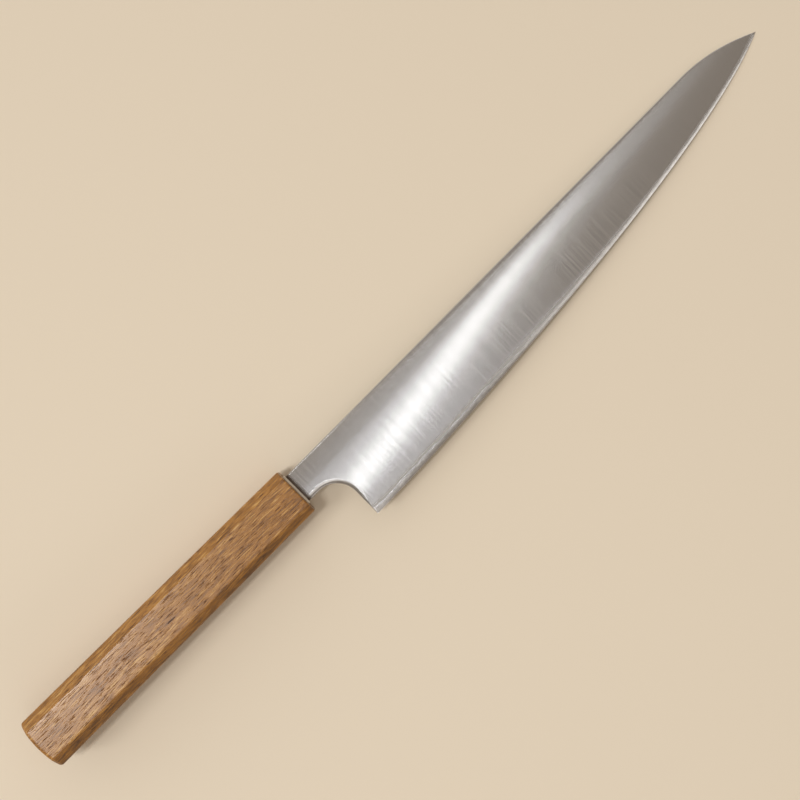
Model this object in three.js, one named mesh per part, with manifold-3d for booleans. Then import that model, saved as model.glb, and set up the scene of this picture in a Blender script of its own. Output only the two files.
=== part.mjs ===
// A sujihiki, the long Japanese slicing knife: a blade of three steels on a one-piece octagonal oak handle.
// The knife is drawn with the handle's axis on X, its front face at x = 0, the tip at +X,
// the spine at +Y and the flat sides facing +Z and -Z. It is then laid down the way it rests on a table.
import * as THREE from 'three';
import { mergeVertices } from 'three/addons/utils/BufferGeometryUtils.js';
import Module from 'manifold-3d';

const wasm = await Module();
wasm.setup();

// Outline of the blade, in millimetres and degrees
const heelAhead = 16.2; // front of the handle to the wall of the heel
const bladeRun = 239.1; // heel to tip, along the handle's axis
const heelDepth = 28.5; // heel below the axis
const spineHeight = 6.9; // spine above the axis where it enters the wood
const spineClimb = 0.435; // angle at which the spine rises towards the tip
const tipFall = 34; // length over which the spine curves down to the tip
const tipDrop = 8.3; // tip below the line of the spine
const neckDepth = 6.25; // underside of the neck below the axis
const choilRadius = 10; // arch between the neck and the heel
const heelFlat = 34.6; // reach of the straight part of the edge at the heel
const bellyReach = 48.1; // reach of the curve of the edge at the tip
const bellyAngle = 23.4; // angle of the edge at the tip

// Thickness of the blade
const spineAtHandle = 2.1; // spine where it enters the wood
const spineAtTip = 1.5; // the same faces carried on to the tip
const grindHeight = 28; // height of the convex grind above the edge
const edgeThickness = 0.2; // what the grind alone would leave at the edge
const edgeRoll = 2.4; // height over which the faces roll over to the edge
const spineEase = 0.5; // rounding of the spine's two corners
const choilEase = 2.2; // rounding of the neck, the arch and the heel, at full thickness
const easeShare = 0.9; // part of the thickness that a rounding may take
const coreAtHandle = 0.54; // hard steel between the two cladding plates, where it enters the wood
const coreAtTip = 0.2; // the same two welds carried on to the tip
const weldSeam = 0.02; // seam between two steels

// Hidden tang and its bed in the handle
const tangLength = 98; // steel inside the wood
const tangEndHeight = 5;
const tangEndThickness = 1.5;
const bedWall = 0.5; // resin between the tang and the wood
const bedEnd = 3; // resin behind the tang
const bedFit = 0.05; // gap on each side of the resin
const sealHeight = 0.8; // bead of sealant ahead of the handle
const sealLap = 0.2; // bead beyond the mouth of the slot
const sealTop = 0.25; // bead around the neck at its front

// Octagonal handle, wider and thicker at the butt
const handleLength = 139.2;
const widthFront = 20.75;
const widthButt = 22.55;
const thickFront = 18;
const thickButt = 19.6;
const chamferFront = 3.2;
const chamferButt = 3.9;
const buttCrown = 45; // radius of the domed butt
const arrisEase = 0.6; // rounding along the eight long edges
const frontEase = 0.6; // rounding around the front face
const buttEase = 1.3; // rounding around the butt

// Number of facets
const edgeStations = 30;
const archStations = 9;
const wallStations = 4;
const tangStations = 5;
const faceRows = 7;
const easeRows = 3;
const arrisFacets = 2;
const spineBandLimit = 0.2; // largest part of a section for the close rows at the spine
const lowerBandLimit = 0.4; // largest part of a section for the close rows at the choil and edge
const edgeHalvings = 40; // steps in the search for the edge
const samePoint = 1e-4; // points closer than this are one

const tipX = heelAhead + bladeRun;
const archX = heelAhead - choilRadius;
const archY = -neckDepth - choilRadius;
const slope = (degrees) => Math.tan(THREE.MathUtils.degToRad(degrees));
const lerp = THREE.MathUtils.lerp;

// The spine climbs straight, then falls to the tip along a parabola
function spineY(x) {
  const fallen = Math.max(0, (x - tipX + tipFall) / tipFall);
  return spineHeight + x * slope(spineClimb) - tipDrop * fallen ** 2;
}

const tipY = spineY(tipX);

// The cutting edge leaves the heel level and sweeps up to the tip
const edgeCurve = new THREE.CubicBezierCurve(
  new THREE.Vector2(heelAhead, -heelDepth),
  new THREE.Vector2(heelAhead + heelFlat, -heelDepth),
  new THREE.Vector2(tipX - bellyReach, tipY - bellyReach * slope(bellyAngle)),
  new THREE.Vector2(tipX, tipY),
);

// Height of the edge at a place along the blade, found by halving
function edgeY(x) {
  let low = 0;
  let high = 1;
  for (let halving = 0; halving < edgeHalvings; halving += 1) {
    const middle = (low + high) / 2;
    if (edgeCurve.getPoint(middle).x < x) low = middle;
    else high = middle;
  }
  return edgeCurve.getPoint(low).y;
}

// The tang narrows from the neck to its end
const tangShare = (x) => Math.max(0, -x / tangLength);
const tangTop = (x) => (x < 0 ? lerp(spineHeight, tangEndHeight / 2, tangShare(x)) : spineY(x));
const tangBottom = (x) => -lerp(neckDepth, tangEndHeight / 2, tangShare(x));

// Half the thickness of the unground stock: two planes on the blade, a taper on the tang
function stockHalf(x) {
  if (x < 0) return lerp(spineAtHandle, tangEndThickness, tangShare(x)) / 2;
  return lerp(spineAtHandle, spineAtTip, x / tipX) / 2;
}

// Half the thickness of the core, which was drawn out thinner towards the tip
function coreHalf(x) {
  return lerp(coreAtHandle, coreAtTip, THREE.MathUtils.clamp(x / tipX, 0, 1)) / 2;
}

// Distance into the steel from the neck's underside, the arch and the wall of the heel
function choilDistance(x, y) {
  if (x <= archX) return y - tangBottom(x);
  if (y <= archY) return x - heelAhead;
  return Math.hypot(x - archX, y - archY) - choilRadius;
}

// Round a face of the given half thickness over towards an outline
function rounded(half, distance, ease) {
  if (distance >= ease) return half;
  const drop = Math.min(ease, half * easeShare);
  const across = 1 - Math.max(0, distance) / ease;
  return half - drop * (1 - Math.sqrt(1 - across ** 2));
}

// Half the thickness of the finished blade: convex grind, rolled edge, eased spine and choil
function bladeHalf(x, y) {
  const above = Math.max(0, y - (x < heelAhead ? -heelDepth : edgeY(x)));
  const stock = stockHalf(x);
  const behindEdge = Math.min(edgeThickness / 2, stock);
  const ground = (height) => {
    const left = 1 - Math.min(1, height / grindHeight);
    return behindEdge + (stock - behindEdge) * (1 - left ** 2);
  };
  const share = Math.min(1, above / edgeRoll);
  const rollStart = edgeRoll / grindHeight;
  const lean = 2 * (stock - behindEdge) * (1 - rollStart) * rollStart;
  const rolled = ground(edgeRoll) * share * (2 - share) - lean * share * (1 - share);
  const face = above < edgeRoll ? rolled : ground(above);
  const eased = rounded(face, choilDistance(x, y), choilEase * (face / stock));
  return rounded(eased, tangTop(x) - y, spineEase);
}

// Pairs of points on the upper and lower outline, from the end of the tang to just short of the tip.
// The lines between them stand upright on the neck, fan out around the heel and close up at the tip.
function outlinePairs() {
  const pairs = [];
  const add = (topX, bottom, normal, reach) => {
    pairs.push({ top: new THREE.Vector2(topX, tangTop(topX)), bottom, normal, reach });
  };
  const down = new THREE.Vector2(0, -1);
  const archTop = heelAhead + (spineHeight - archY);
  const heelTop = heelAhead + (spineHeight + heelDepth);
  for (let i = 0; i < tangStations; i += 1) {
    const x = lerp(-tangLength, 0, i / tangStations);
    add(x, new THREE.Vector2(x, tangBottom(x)), down, choilEase);
  }
  add(0, new THREE.Vector2(0, -neckDepth), down, choilEase);
  for (let i = 0; i <= archStations; i += 1) {
    const turn = (Math.PI / 2) * (i / archStations);
    const inward = new THREE.Vector2(-Math.sin(turn), -Math.cos(turn));
    const bottom = new THREE.Vector2(archX, archY).addScaledVector(inward, -choilRadius);
    add(lerp(archX, archTop, i / archStations), bottom, inward, choilEase);
  }
  for (let i = 1; i < wallStations; i += 1) {
    const share = i / wallStations;
    const bottom = new THREE.Vector2(heelAhead, lerp(archY, -heelDepth, share));
    add(lerp(archTop, heelTop, share), bottom, new THREE.Vector2(-1, 0), choilEase);
  }
  for (let i = 0; i < edgeStations; i += 1) {
    const bottom = edgeCurve.getPoint(i / edgeStations);
    const share = (bottom.x - heelAhead) / bladeRun;
    add(lerp(heelTop, tipX, share), bottom, down, edgeRoll);
  }
  return pairs;
}

// One section of the blade along a line between the outlines: the +Z half, then the -Z half back again
function bladeSection({ top, bottom, normal, reach }) {
  const line = top.clone().sub(bottom);
  const length = line.length();
  const inward = Math.abs(line.dot(normal)) / length;
  const topBand = Math.min(spineEase, length * spineBandLimit);
  const bottomBand = Math.min(reach / inward, length * lowerBandLimit);
  const along = [];
  for (let i = 0; i < easeRows; i += 1) {
    along.push(length - topBand * (i / easeRows) ** 2);
  }
  for (let i = 0; i <= faceRows; i += 1) {
    along.push(lerp(length - topBand, bottomBand, i / faceRows));
  }
  for (let i = easeRows - 1; i >= 0; i -= 1) {
    along.push(bottomBand * (i / easeRows) ** 2);
  }
  const half = along.map((distance) => {
    const place = bottom.clone().addScaledVector(line, distance / length);
    return new THREE.Vector3(place.x, place.y, bladeHalf(place.x, place.y));
  });
  const other = half.map((point) => new THREE.Vector3(point.x, point.y, -point.z));
  return [...half, ...other.reverse()];
}

// Closed body through rings that have equally many points; both ends are fanned shut
function loft(rings) {
  const size = rings[0].length;
  const points = rings.flat();
  const triangles = [];
  for (let ring = 0; ring + 1 < rings.length; ring += 1) {
    for (let i = 0; i < size; i += 1) {
      const a = ring * size + i;
      const b = ring * size + ((i + 1) % size);
      triangles.push([a, b, a + size], [b, b + size, a + size]);
    }
  }
  const fan = (start, forward) => {
    const middle = new THREE.Vector3();
    for (let i = 0; i < size; i += 1) middle.addScaledVector(points[start + i], 1 / size);
    points.push(middle);
    for (let i = 0; i < size; i += 1) {
      const a = start + i;
      const b = start + ((i + 1) % size);
      triangles.push(forward ? [a, b, points.length - 1] : [b, a, points.length - 1]);
    }
  };
  fan(0, false);
  fan((rings.length - 1) * size, true);
  return closedGeometry(points, triangles);
}

// Closed tube through rings, the last of which joins the first
function ringTube(rings) {
  const size = rings[0].length;
  const points = rings.flat();
  const triangles = [];
  for (let ring = 0; ring < rings.length; ring += 1) {
    const next = ((ring + 1) % rings.length) * size;
    for (let i = 0; i < size; i += 1) {
      const follow = (i + 1) % size;
      const a = ring * size + i;
      const b = ring * size + follow;
      triangles.push([a, b, next + i], [b, next + follow, next + i]);
    }
  }
  return closedGeometry(points, triangles);
}

// Merge points that coincide, drop the triangles that vanish and turn the faces outwards
function closedGeometry(points, triangles) {
  const loose = new THREE.BufferGeometry().setFromPoints(points);
  loose.setIndex(triangles.flat());
  const merged = mergeVertices(loose, samePoint);
  const index = merged.getIndex().array;
  const place = merged.getAttribute('position');
  const corners = [0, 1, 2].map(() => new THREE.Vector3());
  const kept = [];
  let volume = 0;
  for (let i = 0; i < index.length; i += 3) {
    const [a, b, c] = index.slice(i, i + 3);
    if (a === b || b === c || c === a) continue;
    kept.push([a, b, c]);
    [a, b, c].forEach((vertex, corner) => corners[corner].fromBufferAttribute(place, vertex));
    volume += corners[0].dot(corners[1].clone().cross(corners[2]));
  }
  merged.setIndex(kept.map(([a, b, c]) => (volume > 0 ? [a, b, c] : [a, c, b])).flat());
  return merged;
}

// Solids that can be cut, and the way back to a geometry
function solidOf(geometry) {
  const vertProperties = new Float32Array(geometry.getAttribute('position').array);
  const triVerts = new Uint32Array(geometry.getIndex().array);
  return new wasm.Manifold(new wasm.Mesh({ numProp: 3, vertProperties, triVerts }));
}

function geometryOf(solid) {
  const mesh = solid.getMesh();
  const geometry = new THREE.BufferGeometry();
  geometry.setAttribute('position', new THREE.BufferAttribute(mesh.vertProperties, 3));
  geometry.setIndex(new THREE.BufferAttribute(mesh.triVerts, 1));
  return geometry;
}

const cut = (body, tool) => geometryOf(solidOf(body).subtract(solidOf(tool)));

// The steel of the blank between two heights, which may change along the blade
function steelLayer(blank, bottom, top) {
  const reach = tipX + tangLength;
  const slab = loft([-reach, 0, tipX, reach].map((x) => [
    new THREE.Vector3(x, reach, top(x)),
    new THREE.Vector3(x, -reach, top(x)),
    new THREE.Vector3(x, -reach, bottom(x)),
    new THREE.Vector3(x, reach, bottom(x)),
  ]));
  return geometryOf(solidOf(blank).intersect(solidOf(slab)));
}

// The whole blade with its tang, ground to shape from the welded stock
function bladeBlank() {
  const sections = outlinePairs().map(bladeSection);
  const tip = sections[0].map(() => new THREE.Vector3(tipX, tipY, 0));
  return loft([...sections, tip]);
}

// Ring around the tang at a place along it, standing off by a clearance
function tangRing(x, clearance) {
  const top = tangTop(x) + clearance;
  const bottom = tangBottom(x) - clearance;
  const half = stockHalf(x) + clearance;
  return [
    new THREE.Vector3(x, top, half),
    new THREE.Vector3(x, bottom, half),
    new THREE.Vector3(x, bottom, -half),
    new THREE.Vector3(x, top, -half),
  ];
}

// The space around the tang, from a place ahead of it to one behind its end
function tangSpace(ahead, behind, clearance) {
  const places = ahead > 0 ? [ahead, 0, -tangLength] : [ahead, -tangLength];
  const end = tangRing(-tangLength, clearance);
  const back = end.map((point) => point.clone().setX(-tangLength - behind));
  return loft([...places.map((x) => tangRing(x, clearance)), back]);
}

// Corners of the octagon at a place along the handle, each one a small curve
function octagon(x, inset) {
  const share = -x / handleLength;
  const halfWidth = lerp(widthFront, widthButt, share) / 2;
  const halfThick = lerp(thickFront, thickButt, share) / 2;
  const chamfer = lerp(chamferFront, chamferButt, share);
  const corners = [];
  for (const [sideY, sideZ] of [[1, 1], [-1, 1], [-1, -1], [1, -1]]) {
    const onSide = new THREE.Vector2(sideY * halfWidth, sideZ * (halfThick - chamfer));
    const onFlat = new THREE.Vector2(sideY * (halfWidth - chamfer), sideZ * halfThick);
    corners.push(...(sideY * sideZ > 0 ? [onSide, onFlat] : [onFlat, onSide]));
  }
  const shrink = 1 - inset / halfThick;
  return corners.flatMap((corner, i) => {
    const [before, after] = [corners.at(i - 1), corners[(i + 1) % corners.length]].map(
      (neighbour) => neighbour.clone().sub(corner).setLength(arrisEase).add(corner),
    );
    const bend = new THREE.QuadraticBezierCurve(before, corner, after).getPoints(arrisFacets);
    return bend.map((point) => new THREE.Vector3(x, point.x * shrink, point.y * shrink));
  });
}

// The handle as a loft: rounded front, straight taper, rounded arris and dome at the butt
function handleBody() {
  const rings = [];
  for (let i = 0; i <= easeRows; i += 1) {
    const turn = (Math.PI / 2) * (i / easeRows);
    rings.push(octagon(-frontEase * (1 - Math.cos(turn)), frontEase * (1 - Math.sin(turn))));
  }
  const crown = (point) => buttCrown - Math.sqrt(buttCrown ** 2 - point.y ** 2 - point.z ** 2);
  const atButt = (inset, back) => octagon(-handleLength, inset).map((point, i) => {
    const x = crown(point) - handleLength + back;
    return octagon(x, inset)[i];
  });
  for (let i = 0; i <= easeRows; i += 1) {
    const turn = (Math.PI / 2) * (i / easeRows);
    rings.push(atButt(buttEase * (1 - Math.cos(turn)), buttEase * (1 - Math.sin(turn))));
  }
  const rim = octagon(-handleLength, buttEase);
  for (let i = 1; i <= easeRows; i += 1) {
    const share = 1 - i / easeRows;
    rings.push(rim.map((point) => {
      const inner = new THREE.Vector3(0, point.y * share, point.z * share);
      return inner.setX(crown(inner) - handleLength);
    }));
  }
  return loft(rings);
}

// The bead of sealant that closes the slot around the neck, rounded towards the steel
function sealBead() {
  const rings = [];
  for (let i = 0; i <= easeRows; i += 1) {
    const turn = (Math.PI / 2) * (i / easeRows);
    const x = lerp(bedFit, sealHeight, Math.sin(turn));
    rings.push(tangRing(x, lerp(sealTop, bedWall + sealLap, Math.cos(turn))));
  }
  rings.push(tangRing(sealHeight, bedFit), tangRing(bedFit, bedFit));
  return ringTube(rings);
}

const coreSteel = new THREE.MeshStandardMaterial({ color: 0xb9b5b0, roughness: 0.3, metalness: 1 });
const cladSteel = new THREE.MeshStandardMaterial({ color: 0xa9a5a1, roughness: 0.38, metalness: 1 });
const roastedOak = new THREE.MeshStandardMaterial({ color: 0xa57b4e, roughness: 0.55, metalness: 0 });
const paleResin = new THREE.MeshStandardMaterial({ color: 0xc9bfae, roughness: 0.5, metalness: 0 });

const knife = new THREE.Group();

function addPiece(name, geometry, material) {
  const piece = new THREE.Mesh(geometry, material);
  piece.name = name;
  knife.add(piece);
  return piece;
}

const blank = bladeBlank();
const pocket = tangSpace(sealHeight, bedEnd, bedWall);
const bed = tangSpace(-bedFit, bedEnd - bedFit, bedWall - bedFit);

const beyondWeld = (x) => coreHalf(x) + weldSeam;
const steels = [
  addPiece('core_steel', steelLayer(blank, (x) => -coreHalf(x), coreHalf), coreSteel),
  addPiece('cladding_right', steelLayer(blank, beyondWeld, () => spineAtHandle), cladSteel),
  addPiece('cladding_left', steelLayer(blank, () => -spineAtHandle, (x) => -beyondWeld(x)), cladSteel),
];
addPiece('handle', cut(handleBody(), pocket), roastedOak);
addPiece('tang_bedding', cut(bed, tangSpace(sealHeight, bedFit, bedFit)), paleResin);
addPiece('mouth_seal', sealBead(), paleResin);

// The blade outweighs the handle, so the knife lies on the front of the handle and on its tip.
// The angle is the smallest one under which the steel is seen from the handle's lower front edge.
function restAngle() {
  const contactX = -frontEase;
  const contactZ = octagon(contactX, 0).reduce((low, point) => Math.min(low, point.z), 0);
  let angle = Math.PI / 2;
  for (const steel of steels) {
    const place = steel.geometry.getAttribute('position');
    for (let i = 0; i < place.count; i += 1) {
      if (place.getX(i) < heelAhead) continue;
      angle = Math.min(angle, Math.atan2(place.getZ(i) - contactZ, place.getX(i) - contactX));
    }
  }
  return angle;
}

// Laid down with the table at z = 0 and the middle of its outline over the origin
knife.rotation.y = restAngle();
knife.updateMatrixWorld(true);
const outline = new THREE.Box3().setFromObject(knife, true);
const middle = outline.getCenter(new THREE.Vector3());
knife.position.set(-middle.x, -middle.y, -outline.min.z);

const sujihiki = new THREE.Group();
sujihiki.add(knife);

export default sujihiki;
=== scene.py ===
# %% [markdown]
# # A sujihiki, dressed in Blender
# A sujihiki is the long Japanese slicer: a slim blade welded from three steels, with a hidden tang
# that is bedded in an octagonal handle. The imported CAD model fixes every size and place, so it is
# loaded first. Each piece below is then modelled again, finely enough to carry reflections and
# grain, exactly where its solid lies.

from math import atan2, copysign, cos, degrees, hypot, pi, radians, sin, sqrt, tan

import bmesh
import bpy
import numpy as np
from mathutils import Matrix, Vector
from mathutils.geometry import interpolate_bezier


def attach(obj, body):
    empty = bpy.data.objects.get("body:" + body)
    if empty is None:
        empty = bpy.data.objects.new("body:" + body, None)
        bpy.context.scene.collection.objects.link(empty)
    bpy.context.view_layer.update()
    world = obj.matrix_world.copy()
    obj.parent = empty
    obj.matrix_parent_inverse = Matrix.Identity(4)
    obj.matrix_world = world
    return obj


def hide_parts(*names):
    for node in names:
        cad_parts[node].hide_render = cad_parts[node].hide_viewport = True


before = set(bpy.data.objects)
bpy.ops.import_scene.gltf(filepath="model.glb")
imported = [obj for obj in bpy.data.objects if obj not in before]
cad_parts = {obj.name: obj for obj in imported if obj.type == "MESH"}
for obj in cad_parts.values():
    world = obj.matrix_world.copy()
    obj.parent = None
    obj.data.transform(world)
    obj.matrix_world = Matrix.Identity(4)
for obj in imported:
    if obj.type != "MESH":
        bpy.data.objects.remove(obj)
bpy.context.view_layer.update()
print("CAD solids:", ", ".join(sorted(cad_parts)))

# %% [markdown]
# ## Where the knife lies
# The pieces are easiest to draw in the knife's own frame, in millimetres: the handle's axis on X
# with its front face at 0, the tip at +X, the spine at +Y and the shown side at +Z. Lying down, the
# knife rests on the front of its handle and on its tip, so it is tipped by two degrees. One matrix
# lays every finished mesh down, and the objects themselves stay at the origin.

# %% The knife's frame
MM = 0.001
handle_front = Vector((-58.0148, 8.6224, 8.9771))  # middle of the handle's front face
rest_tilt = radians(1.99537)
tipped = Matrix.Translation(handle_front) @ Matrix.Rotation(rest_tilt, 4, "Y")
lie_down = Matrix.Scale(MM, 4) @ tipped
crease_angle = radians(35)  # sharper edges are shaded as creases


def lerp(start, end, share):
    return start + (end - start) * share


def make_piece(bm, name, node, material):
    """Lay a mesh down, shade it and let it stand for its CAD solid."""
    volume = bm.calc_volume(signed=True)
    open_edges = sum(not edge.is_manifold for edge in bm.edges)
    for face in bm.faces:
        face.smooth = True
    for edge in bm.edges:
        edge.smooth = edge.calc_face_angle(0) < crease_angle
    bm.transform(lie_down)
    mesh = bpy.data.meshes.new(name)
    bm.to_mesh(mesh)
    bm.free()
    mesh.materials.append(material)
    piece = bpy.data.objects.new(name, mesh)
    bpy.context.scene.collection.objects.link(piece)
    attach(piece, "root")
    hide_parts(node)
    print(f"{name}: {len(mesh.polygons)} faces, {open_edges} open edges, {volume:.1f} cubic millimetres")
    return piece


print("tipped by", round(degrees(rest_tilt), 3), "degrees")

# %% [markdown]
# ## Nodes and colours
# Every finish is a small tree of nodes. One function adds a node, sets what it is given and links
# the rest, and one turns the sRGB hex colours of a swatch into the linear values that shaders use.
# Patterns are drawn in the knife's own millimetres: a Mapping node of the Texture kind undoes the
# tilt and the scale of the Object coordinates, so that 1 on it is one millimetre along the handle.

# %% Node helpers


def swatch(code):
    """Linear colour of an sRGB hex value."""
    levels = [int(code[i : i + 2], 16) / 255 for i in (1, 3, 5)]
    return (*((c / 12.92 if c <= 0.04045 else ((c + 0.055) / 1.055) ** 2.4) for c in levels), 1.0)


def add_node(tree, kind, inputs=None, stops=None, **settings):
    """Add a node: settings are its properties, inputs are values or sockets, stops fill its ramp."""
    node = tree.nodes.new("ShaderNode" + kind)
    for name, value in settings.items():
        setattr(node, name, value)
    for socket, value in (inputs or {}).items():
        if isinstance(value, bpy.types.NodeSocket):
            tree.links.new(value, node.inputs[socket])
        else:
            node.inputs[socket].default_value = value
    if stops:
        elements = node.color_ramp.elements
        for _ in stops[2:]:
            elements.new(1.0)
        for element, (position, code) in zip(elements, stops):
            element.position = position
            element.color = swatch(code)
    return node


def start_finish(name):
    """A new material, its tree, its shader and the knife's millimetres."""
    material = bpy.data.materials.new(name)
    material.use_nodes = True
    tree = material.node_tree
    undo = {
        "Vector": add_node(tree, "TexCoord").outputs["Object"],
        "Location": handle_front * MM,
        "Rotation": (0, rest_tilt, 0),
        "Scale": (MM, MM, MM),
    }
    knife_mm = add_node(tree, "Mapping", undo, vector_type="TEXTURE").outputs["Vector"]
    return material, tree, tree.nodes["Principled BSDF"], knife_mm


print("swatch of mid grey:", round(swatch("#808080")[0], 3))

# %% [markdown]
# ## The hairlines of the cladding
# The two outer plates are soft stainless steel, finished on a belt that ran from spine to edge. The
# belt leaves fine hairlines: across them light spreads wide, along them it stays sharp, so a lamp is
# smeared along the blade. Real hairlines are a few hundredths of a millimetre apart, too fine to
# show, so they are drawn about ten times as coarse. Towards the tip, where the belt pressed less,
# they grow faint: there the noise is mixed with its own mean.

# %% Hairlines
satin, tree, shader, knife_mm = start_finish("satin stainless cladding")
hairline, hairline_run = 0.5, 26.0  # mm from one hairline to the next, coarsened, and along one
patch_width, patch_run = 9.0, 60.0  # mm across and along a patch where the belt pressed harder
through = 10.0  # mm through the steel over which a pattern changes
faint_from, faint_to = 150.0, 190.0  # mm ahead of the handle between which the hairlines grow faint
faint_share = 0.55  # how much of the hairlines is lost there
noise_mean = 0.5

ahead = add_node(tree, "SeparateXYZ", {"Vector": knife_mm}).outputs["X"]
line_scale = {0: knife_mm, 1: (1 / hairline, 1 / hairline_run, 1 / through)}
line_place = add_node(tree, "VectorMath", line_scale, operation="MULTIPLY").outputs[0]
lines = add_node(tree, "TexNoise", {"Vector": line_place, "Scale": 1.0, "Detail": 3.0}).outputs["Fac"]
fading = {"Value": ahead, "From Min": faint_from, "From Max": faint_to, "To Max": faint_share}
fainter = add_node(tree, "MapRange", fading).outputs["Result"]
hairlines = add_node(tree, "Mix", {"Factor": fainter, 2: lines, 3: noise_mean}).outputs[0]
patch_scale = {0: knife_mm, 1: (1 / patch_width, 1 / patch_run, 1 / through)}
patch_place = add_node(tree, "VectorMath", patch_scale, operation="MULTIPLY").outputs[0]
patches = add_node(tree, "TexNoise", {"Vector": patch_place, "Scale": 1.0, "Detail": 2.0}).outputs["Fac"]
worn = add_node(tree, "Math", {0: hairlines, 1: patches}, operation="ADD").outputs[0]
print("hairlines drawn", hairline, "mm apart")

# %% [markdown]
# ## Haze above the edge, shade by the handle
# Whetstones touched the lowest millimetres of the plates as well and left a cloudy haze with a
# ragged border, which narrows towards the tip. Right in front of the handle a dark strip is
# painted into the steel's colour: painted shade and a painted reflection of the handle's dark
# front face. That strip is rougher as well. The haze follows the curve of the edge, which no
# texture coordinate does: the height above the edge is stored on the mesh as an attribute.

# %% Border of the haze
haze_cloud = 3.2  # mm along a cloud of the haze
haze_from, haze_to = 2.4, 5.0  # mm above the edge between which the haze fades out
haze_ragged = 2.4  # mm by which the clouds move that border
narrow_from, narrow_to = 110.0, 230.0  # mm ahead of the handle between which the haze narrows
narrow_most = 2.6  # how many times narrower it is at the end


def whetstone_clouds(tree, knife_mm):
    """The uneven haze that a whetstone leaves, twice as long along the blade as across it."""
    scale = {0: knife_mm, 1: (1 / haze_cloud, 2 / haze_cloud, 1 / through)}
    place = add_node(tree, "VectorMath", scale, operation="MULTIPLY").outputs[0]
    settings = {"Vector": place, "Scale": 1.0, "Detail": 5.0, "Roughness": 0.65}
    return add_node(tree, "TexNoise", settings).outputs["Fac"]


height = add_node(tree, "Attribute", attribute_name="edge_height").outputs["Fac"]
narrowing = {
    "Value": ahead,
    "From Min": narrow_from,
    "From Max": narrow_to,
    "To Min": 1.0,
    "To Max": narrow_most,
}
narrower = add_node(tree, "MapRange", narrowing).outputs["Result"]
seen_height = add_node(tree, "Math", {0: height, 1: narrower}, operation="MULTIPLY").outputs[0]
border = {0: whetstone_clouds(tree, knife_mm), 1: haze_ragged, 2: seen_height}
ragged = add_node(tree, "Math", border, operation="MULTIPLY_ADD").outputs[0]
print("haze fades out", haze_from, "to", haze_to, "mm above the edge")

# %% Roughness of the cladding
shade_strip_from, shade_strip_to = 1.3, 3.2  # mm ahead of the handle between which the painted shade of its front face and the rougher strip fade out
worn_least, worn_most = 0.6, 1.4  # nearly all of the sum of two noises lies between these
fine_rough, coarse_rough, haze_rough, strip_rough = 0.148, 0.15, 0.31, 0.3

spread = {
    "Value": worn,
    "From Min": worn_least,
    "From Max": worn_most,
    "To Min": fine_rough,
    "To Max": coarse_rough,
}
belt_rough = add_node(tree, "MapRange", spread).outputs["Result"]
fade = {
    "Value": ragged,
    "From Min": haze_from + haze_ragged * noise_mean,
    "From Max": haze_to + haze_ragged * noise_mean,
    "To Min": haze_rough,
    "To Max": belt_rough,
}
hazed_rough = add_node(tree, "MapRange", fade, interpolation_type="SMOOTHSTEP").outputs["Result"]
# Past these millimetres the painted shade in front of the handle has faded out and the steel is no longer
# rougher.
shade_strip_fade = {"Value": ahead, "From Min": shade_strip_from, "From Max": shade_strip_to}
past_shade_strip = add_node(tree, "MapRange", shade_strip_fade, interpolation_type="SMOOTHSTEP").outputs["Result"]
strip = {"Value": past_shade_strip, "To Min": strip_rough, "To Max": hazed_rough}
roughness = add_node(tree, "MapRange", strip).outputs["Result"]
tree.links.new(roughness, shader.inputs["Roughness"])
print("roughness where the belt ran:", fine_rough, "to", coarse_rough)

# %% Satin stainless cladding
line_stops = [(0.3, "#bbb8b5"), (0.7, "#cac7c4")]
tone = add_node(tree, "ValToRGB", {"Fac": hairlines}, line_stops).outputs["Color"]
# Painted shade: a dark brown band right in front of the handle stands in for the shade and the dark
# reflection of the handle's front face.
painted_shade_strip = {"Factor": past_shade_strip, 6: swatch("#62564b"), 7: tone}
colour = add_node(tree, "Mix", painted_shade_strip, data_type="RGBA").outputs[2]
tree.links.new(colour, shader.inputs["Base Color"])
relief = add_node(tree, "Bump", {"Height": hairlines, "Strength": 0.1, "Distance": 3e-6})
tree.links.new(relief.outputs["Normal"], shader.inputs["Normal"])

# Anisotropy gives the eye the satin: U of this map runs along the blade, the way that light is smeared.
along = add_node(tree, "Tangent", direction_type="UV_MAP", uv_map="along_blade")
tree.links.new(along.outputs["Tangent"], shader.inputs["Tangent"])
shader.inputs["Metallic"].default_value = 1.0
shader.inputs["Anisotropic"].default_value = 0.955
print("finish:", satin.name)

# %% [markdown]
# ## The finish of the core
# The core is hard steel that shows as a strip along the edge, two or three millimetres high at the
# heel and about one at the tip. It was worked on whetstones, which leave a cloudy, uneven haze with
# no direction. Towards the edge the stones were finer, so the last millimetre is nearly a mirror.

# %% Stone-finished core steel
stone, tree, shader, knife_mm = start_finish("stone-finished core steel")
polish_from, polish_to = 0.4, 2.4  # mm above the edge between which the polish turns to haze
cloud_least, cloud_most = 0.3, 0.7
polish_rough, light_haze, deep_haze = 0.14, 0.2, 0.3

# To the eye it is a pale, cloudy strip with a bright line along the edge.
clouds = whetstone_clouds(tree, knife_mm)
tone = add_node(tree, "ValToRGB", {"Fac": clouds}, [(0.35, "#bdbab7"), (0.65, "#d4d1ce")])
tree.links.new(tone.outputs["Color"], shader.inputs["Base Color"])
height = add_node(tree, "Attribute", attribute_name="edge_height").outputs["Fac"]
spread = {
    "Value": clouds,
    "From Min": cloud_least,
    "From Max": cloud_most,
    "To Min": light_haze,
    "To Max": deep_haze,
}
haze = add_node(tree, "MapRange", spread).outputs["Result"]
polish = {
    "Value": height,
    "From Min": polish_from,
    "From Max": polish_to,
    "To Min": polish_rough,
    "To Max": haze,
}
roughness = add_node(tree, "MapRange", polish).outputs["Result"]
tree.links.new(roughness, shader.inputs["Roughness"])
relief = add_node(tree, "Bump", {"Height": clouds, "Strength": 0.3, "Distance": 1e-5})
tree.links.new(relief.outputs["Normal"], shader.inputs["Normal"])
shader.inputs["Metallic"].default_value = 1.0
print("finish:", stone.name)

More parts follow.
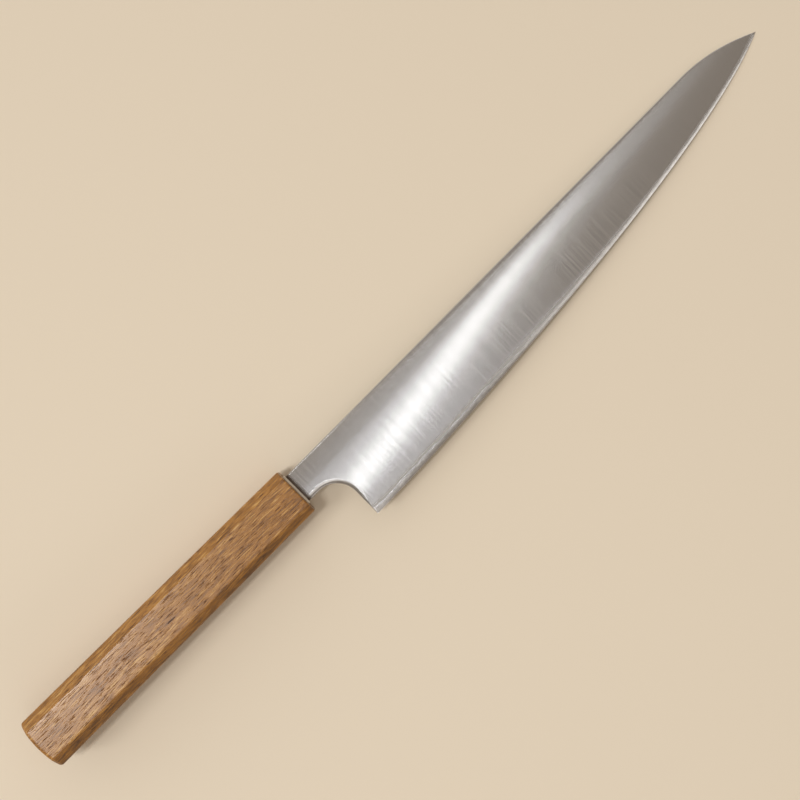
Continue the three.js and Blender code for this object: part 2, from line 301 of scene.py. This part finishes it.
# %% [markdown]
# ## The shape of the blade
# The spine climbs gently and curves down over the last 34 mm. The edge is straight at the heel and
# sweeps up to the tip, which is one cubic curve. Behind the neck a round arch, the choil, leads to
# the wall of the heel. These lines repeat the CAD model's sizes. Could the blade be bevelled from a
# plate instead? Its faces are never flat, so a bevel tool can't give them: the thickness is written
# as a function of the place on the blade, and a grid is bent to it.

# %% Outline of the blade
heel_ahead, blade_run, heel_depth = 16.2, 239.1, 28.5
spine_height, spine_climb = 6.9, tan(radians(0.435))
tip_fall, tip_drop = 34.0, 8.3
neck_depth, choil_radius = 6.25, 10.0
heel_flat, belly_reach, belly_slope = 34.6, 48.1, tan(radians(23.4))
tang_length, tang_end_height = 98.0, 5.0
edge_points = 600
tip_x = heel_ahead + blade_run
arch_x, arch_y = heel_ahead - choil_radius, -neck_depth - choil_radius


def spine_y(x):
    """Height of the spine, or of the tang's upper side inside the handle."""
    if x < 0:
        return lerp(spine_height, tang_end_height / 2, -x / tang_length)
    fallen = max(0.0, (x - tip_x + tip_fall) / tip_fall)
    return spine_height + x * spine_climb - tip_drop * fallen**2


def neck_y(x):
    """Height of the underside of the neck, or of the tang."""
    return -lerp(neck_depth, tang_end_height / 2, max(0.0, -x / tang_length))


heel = Vector((heel_ahead, -heel_depth))
tip = Vector((tip_x, spine_y(tip_x)))
edge_handles = heel + Vector((heel_flat, 0)), tip - Vector((belly_reach, belly_reach * belly_slope))
edge_line = np.array(interpolate_bezier(heel, *edge_handles, tip, edge_points))


def edge_y(x):
    """Height of the cutting edge."""
    return float(np.interp(x, edge_line[:, 0], edge_line[:, 1]))


print(f"heel to tip {(tip - heel).length:.1f} mm, {spine_y(heel_ahead) + heel_depth:.1f} mm high at the heel")

# %% [markdown]
# The faces are convex: from the unground strip along the spine, the steel curves in towards the
# edge and rolls over to it in the last millimetres. The spine's corners and the whole choil are
# rounded over, because a finger rests there.

# %% Thickness of the blade
spine_at_handle, spine_at_tip, tang_end_thickness = 2.1, 1.5, 1.5
grind_height, edge_thickness, edge_roll = 28.0, 0.2, 2.4
spine_ease, choil_ease, ease_share = 0.5, 2.2, 0.9


def stock_half(x):
    """Half the thickness before grinding."""
    if x < 0:
        return lerp(spine_at_handle, tang_end_thickness, -x / tang_length) / 2
    return lerp(spine_at_handle, spine_at_tip, x / tip_x) / 2


def choil_distance(x, y):
    """Distance into the steel from the neck, the arch and the wall of the heel."""
    if x <= arch_x:
        return y - neck_y(x)
    if y <= arch_y:
        return x - heel_ahead
    return hypot(x - arch_x, y - arch_y) - choil_radius


def rounded(half, distance, ease):
    """A face rounded over towards an outline."""
    if distance >= ease:
        return half
    across = 1 - max(0.0, distance) / ease
    return half - min(ease, half * ease_share) * (1 - sqrt(1 - across**2))


def height_over_edge(x, y):
    return max(0.0, y - (edge_y(x) if x > heel_ahead else -heel_depth))


def blade_half(x, y):
    """Half the thickness of the finished blade."""
    stock = stock_half(x)
    behind_edge = min(edge_thickness / 2, stock)
    above = height_over_edge(x, y)
    left = 1 - min(1.0, max(above, edge_roll) / grind_height)
    face = behind_edge + (stock - behind_edge) * (1 - left**2)
    if above < edge_roll:
        share, lean = above / edge_roll, 2 * (stock - behind_edge) * left * (1 - left)
        face = face * share * (2 - share) - lean * share * (1 - share)
    face = rounded(face, choil_distance(x, y), choil_ease * face / stock)
    return rounded(face, spine_y(x) - y, spine_ease)


mid_blade = 135.0
near_edge = 2 * blade_half(mid_blade, edge_y(mid_blade) + 1)
print(f"thickness 1 mm over the edge at mid-blade: {near_edge:.2f} mm")

# %% [markdown]
# ## The grid that becomes the blade
# A flat grid is made with one operator and every vertex is moved to its place: one direction of the
# grid runs from the tang to the tip, the other once around the blade, from the spine down the shown
# face, past the edge and up the other face. Merging the doubles closes the seam at the spine, the
# edge and the tip. Rows crowd together where the steel is rounded over.

# %% Stations from the tang to the tip
tang_stations, neck_stations, arch_stations, wall_stations, edge_stations = 8, 6, 28, 20, 190


def stations():
    """Pairs of points on the spine and on the lower outline, with the width of the rounded band."""
    arch_top = heel_ahead + spine_height - arch_y
    heel_top = heel_ahead + spine_height + heel_depth
    for x in np.linspace(-tang_length, 0, tang_stations, endpoint=False):
        yield x, Vector((x, neck_y(x))), choil_ease
    for x in np.linspace(0, arch_x, neck_stations, endpoint=False):
        yield x, Vector((x, -neck_depth)), choil_ease
    for share in np.linspace(0, 1, arch_stations, endpoint=False):
        turn = share * pi / 2
        on_arch = Vector((arch_x + choil_radius * sin(turn), arch_y + choil_radius * cos(turn)))
        leaning = cos(turn - atan2(lerp(arch_x, arch_top, share) - on_arch.x, spine_height - on_arch.y))
        yield lerp(arch_x, arch_top, share), on_arch, choil_ease / leaning
    for share in np.linspace(0, 1, wall_stations, endpoint=False):
        top, low = lerp(arch_top, heel_top, share), lerp(arch_y, -heel_depth, share)
        leaning = sin(atan2(top - heel_ahead, spine_height - low))
        yield top, Vector((heel_ahead, low)), choil_ease / leaning
    for x, y in edge_line[:: len(edge_line) // edge_stations]:
        yield lerp(heel_top, tip_x, (x - heel_ahead) / blade_run), Vector((x, y)), edge_roll
    yield tip_x, tip, edge_roll


print(len(list(stations())), "stations")

# %% Sections around the blade
ease_rows, face_rows = 14, 44
spine_band_limit, lower_band_limit = 0.2, 0.4  # largest parts of a section for the crowded rows
least_length = 1e-9  # mm, for the section that shrinks to the tip
merge_distance = 0.0001  # mm within which vertices become one
half_grid = 0.5


def section(top_x, bottom, band):
    """One ring around the blade, through a point on the spine and one on the lower outline."""
    top = Vector((top_x, spine_y(top_x)))
    length = max((top - bottom).length, least_length)
    top_band, low_band = min(spine_ease, length * spine_band_limit), min(band, length * lower_band_limit)
    close = [(i / ease_rows) ** 2 for i in range(ease_rows)]
    along = [length - top_band * step for step in close]
    along += [lerp(length - top_band, low_band, i / face_rows) for i in range(face_rows + 1)]
    along += [low_band * step for step in reversed(close)]
    places = [bottom.lerp(top, distance / length) for distance in along]
    shown = [Vector((p.x, p.y, blade_half(p.x, p.y))) for p in places]
    other = [Vector((p.x, p.y, -p.z)) for p in reversed(shown)]
    return [*shown, *other, shown[0]]


def blade_shell():
    """The whole blade with its tang as one closed skin."""
    rings = [section(*station) for station in stations()]
    bm = bmesh.new()
    columns, rows = len(rings) - 1, len(rings[0]) - 1
    bmesh.ops.create_grid(bm, x_segments=columns, y_segments=rows, size=half_grid)
    for vert in bm.verts:
        column = round((vert.co.x + half_grid) * columns)
        row = round((vert.co.y + half_grid) * rows)
        vert.co = rings[column][row]
    bmesh.ops.remove_doubles(bm, verts=bm.verts, dist=merge_distance)
    bmesh.ops.holes_fill(bm, edges=bm.edges)
    bmesh.ops.recalc_face_normals(bm, faces=bm.faces)
    return bm


shell = blade_shell()
print(f"blade skin: {len(shell.faces)} faces, {sum(e.is_boundary for e in shell.edges)} open edges")

# %% [markdown]
# ## Three steels from one skin
# The smith welds a hard bar between two soft ones and grinds the blade from the stack, so the weld
# comes out on each face as a line a little above the edge. It is never quite straight, because the
# layers were hammered. Here the skin is cut the same way: a bisecting plane takes off what lies
# beyond the weld, and each cut is filled. To make the line wander, the skin is shifted by a small
# wave before the cut and shifted back after it.

# %% The welds
core_at_handle, core_at_tip = 0.54, 0.2
wave_lengths = 37.0, 15.3, 6.1  # mm from crest to crest along the blade
wave_depths = 0.012, 0.011, 0.006  # mm that the weld wanders through the thickness


def weld_height(x, side):
    """Height of the weld above the middle of the blade, on the right (1) or left (-1) side."""
    waves = zip(wave_lengths, wave_depths)
    wander = sum(depth * sin(2 * pi * x / length + side) for length, depth in waves)
    core_half = lerp(core_at_handle, core_at_tip, max(0.0, x) / tip_x) / 2
    return side * (core_half + wander)


def cut_at_weld(bm, side, keep_core):
    """Take off what lies on the far side of one weld and close the cut."""
    for vert in bm.verts:
        vert.co.z -= weld_height(vert.co.x, side)
    geometry = [*bm.verts, *bm.edges, *bm.faces]
    away = (0, 0, side if keep_core else -side)
    cut = bmesh.ops.bisect_plane(bm, geom=geometry, plane_co=(0, 0, 0), plane_no=away, clear_outer=True)
    rim = [item for item in cut["geom_cut"] if isinstance(item, bmesh.types.BMEdge)]
    bmesh.ops.triangle_fill(bm, edges=rim, use_beauty=True)
    for vert in bm.verts:
        vert.co.z += weld_height(vert.co.x, side)
    bmesh.ops.remove_doubles(bm, verts=bm.verts, dist=merge_distance)
    bmesh.ops.recalc_face_normals(bm, faces=bm.faces)


def add_blade_maps(bm):
    """Store the direction of the blade as a UV map and the height above the edge as an attribute."""
    along_blade = bm.loops.layers.uv.new("along_blade")
    edge_height = bm.verts.layers.float.new("edge_height")
    for vert in bm.verts:
        vert[edge_height] = height_over_edge(vert.co.x, vert.co.y)
    for face in bm.faces:
        for loop in face.loops:
            loop[along_blade].uv = loop.vert.co.xy * MM


print(f"weld above the middle: {weld_height(0, 1):.2f} mm, at the tip {weld_height(tip_x, 1):.2f} mm")

# %% Core and cladding
core = shell.copy()
for side in (1, -1):
    cut_at_weld(core, side, keep_core=True)
add_blade_maps(core)
make_piece(core, "core", "core_steel", stone)

for side, name in ((1, "right"), (-1, "left")):
    plate = shell.copy()
    cut_at_weld(plate, side, keep_core=False)
    add_blade_maps(plate)
    make_piece(plate, f"plate_{name}", f"cladding_{name}", satin)
shell.free()

# %% [markdown]
# ## The grain of the handle
# Roasted oak: heat turned the pale wood brown all through, and sanding left its pores open, short
# dark dashes that run with the grain between paler fibres. The fibres, the pores and the broader
# year rings are three noises, each stretched along the handle. A slow fourth noise bends them all a
# little, because grain is never quite straight.

# %% Fibres, pores and rings
oak, tree, shader, knife_mm = start_finish("roasted oak, oiled")
bend_run, bend_width, bend_depth = 45.0, 14.0, 3.0  # mm along and across a bend, and its reach
grain_sizes = {  # mm along and across, and the detail of each noise
    "fibre": (6.5, 0.5, 4.0),
    "pore": (4.0, 0.4, 2.0),
    "ring": (60.0, 4.0, 2.0),
}

bend_scale = {0: knife_mm, 1: (1 / bend_run, 1 / bend_width, 1 / bend_width)}
bend_place = add_node(tree, "VectorMath", bend_scale, operation="MULTIPLY").outputs[0]
bend = add_node(tree, "TexNoise", {"Vector": bend_place, "Scale": 1.0, "Detail": 1.0}).outputs["Color"]
sway = {0: bend, 1: (0, bend_depth, bend_depth), 2: knife_mm}
bent_mm = add_node(tree, "VectorMath", sway, operation="MULTIPLY_ADD").outputs[0]
grain = {}
for name, (run, width, detail) in grain_sizes.items():
    scale = {0: bent_mm, 1: (1 / run, 1 / width, 1 / width)}
    place = add_node(tree, "VectorMath", scale, operation="MULTIPLY").outputs[0]
    noise = {"Vector": place, "Scale": 1.0, "Detail": detail}
    grain[name] = add_node(tree, "TexNoise", noise).outputs["Fac"]
print("grain:", ", ".join(grain))

# %% [markdown]
# ## The finish of the handle
# The fibres and rings choose the colour on a ramp from dark to pale brown, and the pores darken it.
# On the cutting edge's side the colour is moved down the ramp: painted shade, which stands in for
# the side that gets less light. An oil finish gives a soft sheen, which the open pores break up:
# they are dull and lie a little lower.

# %% Colour of the oak
side_shade_from, side_shade_to, side_shade_depth = -9.0, -6.8, -0.13  # painted shade on the edge's side: mm across the handle, and how far down the ramp
ring_depth, pore_depth = 0.35, 0.75
pore_floor, pore_rim = 0.3, 0.44  # levels of the noise between which a pore rises to the surface

# Painted shade: the handle's colour is darker towards the cutting edge's side, as if less light fell there.
across = add_node(tree, "SeparateXYZ", {"Vector": knife_mm}).outputs["Y"]
side_shade_range = {
    "Value": across,
    "From Min": side_shade_from,
    "From Max": side_shade_to,
    "To Min": side_shade_depth,
    "To Max": 0.0,
}
painted_side_shade = add_node(tree, "MapRange", side_shade_range, interpolation_type="SMOOTHSTEP").outputs["Result"]
ring_settings = {0: grain["ring"], 1: ring_depth, 2: painted_side_shade}
rings = add_node(tree, "Math", ring_settings, operation="MULTIPLY_ADD").outputs[0]
shade = add_node(tree, "Math", {0: rings, 1: grain["fibre"]}, operation="ADD").outputs[0]
wood_stops = [(0.44, "#66421a"), (0.61, "#936328"), (0.75, "#ab7735"), (0.88, "#cba05f")]
wood = add_node(tree, "ValToRGB", {"Fac": shade}, wood_stops).outputs["Color"]
pore_stops = [(pore_floor, "#6e441a"), (pore_rim, "#ffffff")]
pores = add_node(tree, "ValToRGB", {"Fac": grain["pore"]}, pore_stops).outputs["Color"]
dashes = {"Factor": pore_depth, 6: wood, 7: pores}
dashed = add_node(tree, "Mix", dashes, data_type="RGBA", blend_type="MULTIPLY").outputs[2]
tree.links.new(dashed, shader.inputs["Base Color"])
print("colours of the wood:", ", ".join(code for _, code in wood_stops))

# %% Roasted oak, oiled
fibre_least, fibre_most = 0.3, 0.7
dull_fibre, glossy_fibre, dull_pore = 0.29, 0.25, 0.7

oiled = {
    "Value": grain["fibre"],
    "From Min": fibre_least,
    "From Max": fibre_most,
    "To Min": dull_fibre,
    "To Max": glossy_fibre,
}
fibre_rough = add_node(tree, "MapRange", oiled).outputs["Result"]
pits = {"Value": grain["pore"], "From Min": pore_floor, "From Max": pore_rim}
surface = add_node(tree, "MapRange", pits).outputs["Result"]
roughness = add_node(tree, "MapRange", {"Value": surface, "To Min": dull_pore, "To Max": fibre_rough})
tree.links.new(roughness.outputs["Result"], shader.inputs["Roughness"])
relief = add_node(tree, "Bump", {"Height": surface, "Strength": 0.5, "Distance": 6e-5})
tree.links.new(relief.outputs["Normal"], shader.inputs["Normal"])

# To the eye it is a warm brown under a soft sheen that dark dashes interrupt.
shader.inputs["IOR"].default_value = 1.53
print("finish:", oak.name)

# %% [markdown]
# ## The handle
# One stick of oak is planed to eight sides, a little wider and thicker at the butt, and its long
# edges, its front rim and its domed butt are eased with sandpaper. An eight-sided circle is moved
# to the front section and extruded to the butt, bevels ease the edges, insets and a moved ring give
# the dome. The slot for the tang is a small ring bridged into the front face and extruded inwards.

# %% Sizes of the handle
handle_length = 139.2
width_front, width_butt = 20.75, 22.55
thick_front, thick_butt = 18.0, 19.6
chamfer_front, chamfer_butt = 3.2, 3.9
arris_ease, front_ease, butt_ease, butt_crown = 0.6, 0.6, 1.3, 45.0
side_cuts, dome_steps, ease_segments = 5, 4, 4
bed_wall, bed_end = 0.5, 3.0
nearly = 1e-3  # mm within which a point counts as lying in a plane
octagon_turn = Matrix.Rotation(pi / 8, 4, "Z")  # puts a flat of eight sides on top
square_turn = Matrix.Rotation(pi / 4, 4, "Z")  # does the same for four sides


def octagon_corner(x, y, z):
    """The corner of the octagon at x that lies on the same side as a point (y, z)."""
    share = -x / handle_length
    half_width = lerp(width_front, width_butt, share) / 2
    half_thick = lerp(thick_front, thick_butt, share) / 2
    chamfer = lerp(chamfer_front, chamfer_butt, share)
    if abs(y) > abs(z):
        return Vector((x, copysign(half_width, y), copysign(half_thick - chamfer, z)))
    return Vector((x, copysign(half_width - chamfer, y), copysign(half_thick, z)))


def slot_corner(x, y, z):
    """The corner of the slot around the tang at x, on the same side as a point (y, z)."""
    up = spine_y(x) + bed_wall if y > 0 else neck_y(x) - bed_wall
    return Vector((x, up, copysign(stock_half(x) + bed_wall, z)))


def crown(y, z):
    """How far the domed butt stands back from its middle."""
    return butt_crown - sqrt(butt_crown**2 - y**2 - z**2)


def edges_at(bm, x):
    """Edges that lie in the plane across the handle at x."""
    return [e for e in bm.edges if all(abs(v.co.x - x) < nearly for v in e.verts)]


def faces_at(bm, x):
    return [f for f in bm.faces if all(abs(v.co.x - x) < nearly for v in f.verts)]


def eased(bm, edges, offset):
    """Round edges over."""
    bmesh.ops.bevel(
        bm, geom=edges, offset=offset, segments=ease_segments, profile=0.5, affect="EDGES", material=-1
    )


print("butt stands back", round(crown(width_butt / 2, 0), 2), "mm at its sides")

# %% Plane the stick and ease its edges
bm = bmesh.new()
bmesh.ops.create_circle(bm, cap_ends=True, segments=8, radius=1.0, matrix=octagon_turn)
for vert in bm.verts:
    vert.co = octagon_corner(0.0, vert.co.x, vert.co.y)
pulled = bmesh.ops.extrude_face_region(bm, geom=bm.faces[:])
for vert in pulled["geom"]:
    if isinstance(vert, bmesh.types.BMVert):
        vert.co = octagon_corner(-handle_length, vert.co.y, vert.co.z)
bmesh.ops.holes_fill(bm, edges=bm.edges)
bmesh.ops.recalc_face_normals(bm, faces=bm.faces)
arrises = [e for e in bm.edges if abs(e.verts[0].co.x - e.verts[1].co.x) > nearly]
bmesh.ops.subdivide_edges(bm, edges=edges_at(bm, 0.0) + edges_at(bm, -handle_length), cuts=side_cuts)
eased(bm, arrises, arris_ease)
eased(bm, edges_at(bm, 0.0), front_ease)
eased(bm, edges_at(bm, -handle_length), butt_ease)
print("stick:", len(bm.faces), "faces")

# %% Dome the butt and sink the slot
dome = faces_at(bm, -handle_length)
for step in range(dome_steps):
    bmesh.ops.inset_region(bm, faces=dome, thickness=0.0)
    smaller = 1 - 1 / (dome_steps + 1 - step)
    bmesh.ops.scale(bm, vec=(1, smaller, smaller), verts=dome[0].verts[:])
bmesh.ops.poke(bm, faces=dome)
for vert in bm.verts:
    if vert.co.x < butt_ease + nearly - handle_length:
        vert.co.x += crown(vert.co.y, vert.co.z)
bmesh.ops.delete(bm, geom=faces_at(bm, 0.0), context="FACES_ONLY")
mouth = bmesh.ops.create_circle(bm, segments=4, radius=1.0, matrix=square_turn)
for vert in mouth["verts"]:
    vert.co = slot_corner(0.0, vert.co.x, vert.co.y)
slot_rim = list({edge for vert in mouth["verts"] for edge in vert.link_edges})
bmesh.ops.bridge_loops(bm, edges=edges_at(bm, 0.0))
pushed = bmesh.ops.extrude_edge_only(bm, edges=slot_rim)
for vert in pushed["geom"]:
    if isinstance(vert, bmesh.types.BMVert):
        vert.co = slot_corner(-tang_length, vert.co.y, vert.co.z) - Vector((bed_end, 0, 0))
bmesh.ops.holes_fill(bm, edges=bm.edges)
bmesh.ops.recalc_face_normals(bm, faces=bm.faces)
stick = make_piece(bm, "octagonal_handle", "handle", oak)
evened = stick.modifiers.new("flat sides", "WEIGHTED_NORMAL")
evened.keep_sharp = True

# %% [markdown]
# ## The sealed mouth
# A thin bead of sealant closes the slot where the neck enters the wood, so that no water gets in. A
# loop around the neck has its corners rounded, is pulled forward ring by ring with a hollow front,
# goes back along the steel and is bridged shut. The resin deep in the slot is never seen: its CAD
# solid is kept and only gets a finish.

# %% Smooth sealant
# To the eye it is a pale, waxy line with soft smears.
sealant, tree, shader, knife_mm = start_finish("smooth sealant")
smears_per_mm = 0.8
smear_least, smear_most = 0.3, 0.7
glossy_smear, dull_smear = 0.35, 0.5

smear = add_node(tree, "TexNoise", {"Vector": knife_mm, "Scale": smears_per_mm, "Detail": 3.0}).outputs["Fac"]
tone = add_node(tree, "ValToRGB", {"Fac": smear}, [(smear_least, "#d8ccb8"), (smear_most, "#efe6d6")])
tree.links.new(tone.outputs["Color"], shader.inputs["Base Color"])
spread = {
    "Value": smear,
    "From Min": smear_least,
    "From Max": smear_most,
    "To Min": glossy_smear,
    "To Max": dull_smear,
}
roughness = add_node(tree, "MapRange", spread).outputs["Result"]
tree.links.new(roughness, shader.inputs["Roughness"])
print("finish:", sealant.name)

# %% Cured resin
# It is hidden, but cut open it would be the pale brown of set honey.
resin, tree, shader, knife_mm = start_finish("cured resin")
swirls_per_mm = 0.3

swirl = add_node(tree, "TexNoise", {"Vector": knife_mm, "Scale": swirls_per_mm, "Detail": 3.0}).outputs["Fac"]
tone = add_node(tree, "ValToRGB", {"Fac": swirl}, [(smear_least, "#b09a72"), (smear_most, "#cdbb94")])
tree.links.new(tone.outputs["Color"], shader.inputs["Base Color"])
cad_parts["tang_bedding"].material_slots[0].material = resin
print("finish:", resin.name)

# %% Bead of sealant
bed_fit, seal_height, seal_lap, seal_top = 0.05, 0.8, 0.2, 0.25
seal_corner, corner_segments, seal_rings = 0.5, 5, 5
neck_middle = (spine_height - neck_depth) / 2
neck_half = Vector((0, (spine_height + neck_depth) / 2, spine_at_handle / 2))


def stand_off(clearance):
    """Half height and half width of a loop around the neck."""
    return neck_half + Vector((0, clearance, clearance))


bm = bmesh.new()
bmesh.ops.create_circle(bm, segments=4, radius=1.0, matrix=square_turn)
base = stand_off(bed_wall + seal_lap)
for vert in bm.verts:
    vert.co = (bed_fit, copysign(base.y, vert.co.x) + neck_middle, copysign(base.z, vert.co.y))
bmesh.ops.bevel(
    bm,
    geom=bm.verts[:],
    offset=seal_corner,
    segments=corner_segments,
    profile=0.5,
    affect="VERTICES",
    material=-1,
)
turns = [pi / 2 * (i + 1) / seal_rings for i in range(seal_rings)]
path = [(lerp(bed_fit, seal_height, sin(t)), lerp(seal_top, bed_wall + seal_lap, cos(t))) for t in turns]
path += [(seal_height, bed_fit), (bed_fit, bed_fit)]
first = loop = bm.edges[:]
before = base
for x, clearance in path:
    pulled = bmesh.ops.extrude_edge_only(bm, edges=loop)["geom"]
    loop = [item for item in pulled if isinstance(item, bmesh.types.BMEdge)]
    size = stand_off(clearance)
    for vert in {v for edge in loop for v in edge.verts}:
        up = (vert.co.y - neck_middle) * size.y / before.y
        vert.co = (x, up + neck_middle, vert.co.z * size.z / before.z)
    before = size
bmesh.ops.bridge_loops(bm, edges=first + loop)
bmesh.ops.recalc_face_normals(bm, faces=bm.faces)
make_piece(bm, "neck_bead", "mouth_seal", sealant)

# %% [markdown]
# ## Floor
# A plain, pale and matt floor shows the shadow and nothing else. It lies a tenth of a millimetre
# lower than the knife, so that the two never share a surface.

# %% Pale floor
floor_half, floor_drop = 10.0, 0.1 * MM
bm = bmesh.new()
bmesh.ops.create_grid(bm, x_segments=1, y_segments=1, size=floor_half)
mesh = bpy.data.meshes.new("floor")
bm.to_mesh(mesh)
bm.free()
floor = bpy.data.objects.new("floor", mesh)
floor.location.z = -floor_drop
bpy.context.scene.collection.objects.link(floor)
pale = bpy.data.materials.new("pale matt floor")
pale.use_nodes = True
shader = pale.node_tree.nodes["Principled BSDF"]
shader.inputs["Base Color"].default_value = swatch("#e6d8c2")
shader.inputs["Roughness"].default_value = 0.8
mesh.materials.append(pale)
print("floor:", 2 * floor_half, "m wide")

# %% [markdown]
# ## Lamps
# Satin steel shows what surrounds it, so one large soft box would make it blank. A thin ceiling tube
# with a faint glow beside it is the white band that crosses the blade from the heel to the spine. A
# small bright panel over the butt gives the oiled wood its sheen. A card and two strips on the
# cutting edge's side draw the light lines on the choil and along the edge, and a dim wall stands
# behind them for low views. A broad window behind the butt, a sun with soft shadows, models the
# handle. Lamps are given by their radiance, because that is what a reflection shows.

# %% Lamps
ceiling = 1.2  # m above the floor


def add_lamp(name, place, size, radiance, colour="#ffffff", spin=0.0, aim=None):
    """A rectangular lamp with an even radiance, which faces straight down or a point."""
    lamp = bpy.data.lights.new(name, "AREA")
    lamp.shape = "RECTANGLE"
    lamp.size, lamp.size_y = size
    lamp.energy = radiance * pi * size[0] * size[1]
    lamp.color = swatch(colour)[:3]
    holder = bpy.data.objects.new(name, lamp)
    target = Vector(aim or (place[0], place[1], 0))
    facing = (target - Vector(place)).to_track_quat("-Z", "Y").to_matrix().to_4x4()
    holder.matrix_world = Matrix.Translation(place) @ facing @ Matrix.Rotation(radians(spin), 4, "Z")
    bpy.context.scene.collection.objects.link(holder)
    print(f"{name}: {lamp.energy:.2f} W")


add_lamp("ceiling tube", (0.075, -0.069, ceiling), (0.483, 0.02), 7.6, "#f6fbff", spin=20.1)
add_lamp("glow beside the tube", (0.017, -0.103, ceiling), (0.356, 0.221), 0.6, "#e8f1ff")
add_lamp("ceiling over the spine", (0.32, 0.008, ceiling), (0.6, 0.06), 0.23, "#e8f1ff", spin=-5)
add_lamp("panel over the butt", (-0.42, 0.165, ceiling), (0.26, 0.11), 42.0)
add_lamp("card below the neck", (-0.2, -0.42, ceiling), (0.3, 0.5), 1.3)
add_lamp("strip on the edge side", (0.33, -0.3, ceiling), (0.27, 0.09), 1.0, spin=-22)
add_lamp("strip ahead of the tip", (0.62, -0.335, ceiling), (0.36, 0.12), 1.2)
add_lamp("wall on the edge side", (0, -1.7, 0.95), (3.0, 0.5), 0.55, aim=(0, 0, 0))

window = bpy.data.lights.new("window behind the butt", "SUN")
window.energy, window.angle = 0.76, radians(20)
holder = bpy.data.objects.new(window.name, window)
holder.rotation_euler = Vector((0.96, -0.45, -1.2)).to_track_quat("-Z", "Y").to_euler()
bpy.context.scene.collection.objects.link(holder)
print(f"{window.name}: {window.energy:.2f} W/m2")

# %% [markdown]
# ## World
# The world is a dim warm room. Near the horizon on the spine's side it is paler, so that the steel
# doesn't turn black in low views. Overhead it stays dim, which leaves the reflections of the lamps
# alone. In a world, Generated coordinates are the direction of the view.

# %% World
pale_from, pale_to = 0.93, 0.45  # heights of a direction between which the walls grow pale
side_from, side_to = -0.2, 0.7  # how far a direction points to the spine's side

world = bpy.data.worlds.new("dim warm room")
world.use_nodes = True
tree = world.node_tree
generated = add_node(tree, "TexCoord").outputs["Generated"]
direction = add_node(tree, "SeparateXYZ", {"Vector": generated}).outputs
sinking = {"Value": direction["Z"], "From Min": pale_from, "From Max": pale_to}
low = add_node(tree, "MapRange", sinking, interpolation_type="SMOOTHSTEP").outputs["Result"]
turning = {"Value": direction["Y"], "From Min": side_from, "From Max": side_to, "To Max": low}
low_and_spineward = add_node(tree, "MapRange", turning, interpolation_type="SMOOTHSTEP").outputs["Result"]
walls = {"Factor": low_and_spineward, 6: swatch("#9f958a"), 7: swatch("#eeece8")}
room = add_node(tree, "Mix", walls, data_type="RGBA").outputs[2]
tree.links.new(room, tree.nodes["Background"].inputs["Color"])
bpy.context.scene.world = world
print("world:", world.name)

# %% [markdown]
# ## Camera
# The camera hangs 650 mm above the floor, looks straight down and is turned so that the knife runs
# from the lower left of the picture to the upper right.

# %% Camera
camera = bpy.data.objects.new("camera", bpy.data.cameras.new("camera"))
bpy.context.scene.collection.objects.link(camera)
camera.location = (-0.0046, 0.00526, 0.65)
camera.rotation_euler = (0, 0, radians(-44.893))
camera.data.sensor_width = 36.0
camera.data.lens = 74.19
bpy.context.scene.camera = camera
bpy.context.scene.view_settings.view_transform = "Standard"
print("camera", [round(c, 3) for c in camera.location])
